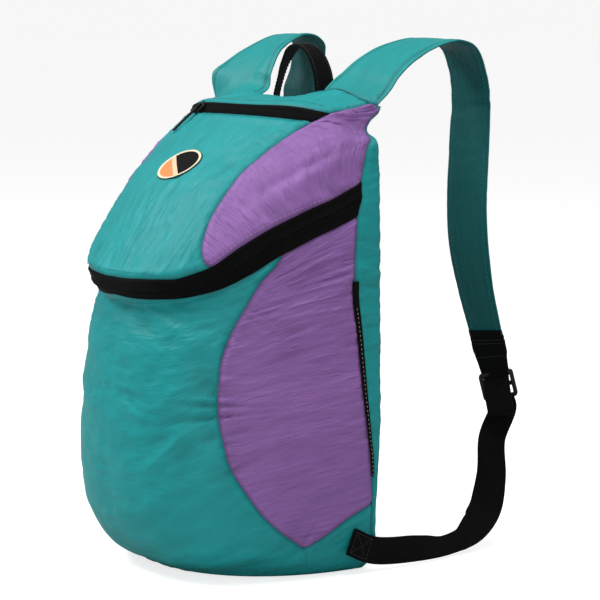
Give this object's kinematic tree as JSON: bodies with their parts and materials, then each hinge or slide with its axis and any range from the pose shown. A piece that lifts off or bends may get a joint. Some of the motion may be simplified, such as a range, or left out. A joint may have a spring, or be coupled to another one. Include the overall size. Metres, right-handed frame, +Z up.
{
  "type": "packable backpack",
  "caption": "Light packable cloth backpack with a domed zip-round lid, violet side panels, top haul loop and adjustable shoulder straps, standing on its base.",
  "frame": {"origin": "middle of the flat base panel, on the surface that the bag stands on", "axes": "+Z up, +Y towards the wearer's back, +X towards the wearer's right hand; the zipped front looks along -Y"},
  "size_m": [0.2906, 0.3798, 0.479],
  "materials": {
    "teal_cloth": "satin",
    "violet_cloth": "satin",
    "black_tape": "matte",
    "webbing": "matte",
    "moulded_black": "satin",
    "badge_cloth": "matte"
  },
  "bodies": {
    "root": {"bottom_panel": "teal_cloth", "lower_front_panel": "teal_cloth", "main_zip_band": "black_tape", "lid_panel": "teal_cloth", "top_zip_band": "black_tape", "yoke_panel": "teal_cloth", "back_panel": "teal_cloth", "badge": "badge_cloth", "top_zip_slider": "moulded_black", "haul_loop": "webbing", "lower_side_panel_right": "violet_cloth", "lower_side_panel_left": "violet_cloth", "lid_side_panel_right": "violet_cloth", "lid_side_panel_left": "violet_cloth", "side_tape_right": "black_tape", "side_tape_left": "black_tape", "shoulder_strap_right": "teal_cloth", "shoulder_strap_left": "teal_cloth", "strap_end_tab_right": "webbing", "strap_end_tab_left": "webbing", "ladder_lock_right": "moulded_black", "ladder_lock_left": "moulded_black", "lower_webbing_right": "webbing", "lower_webbing_left": "webbing", "webbing_tail_right": "webbing", "webbing_tail_left": "webbing"}
  },
  "joints": []
}
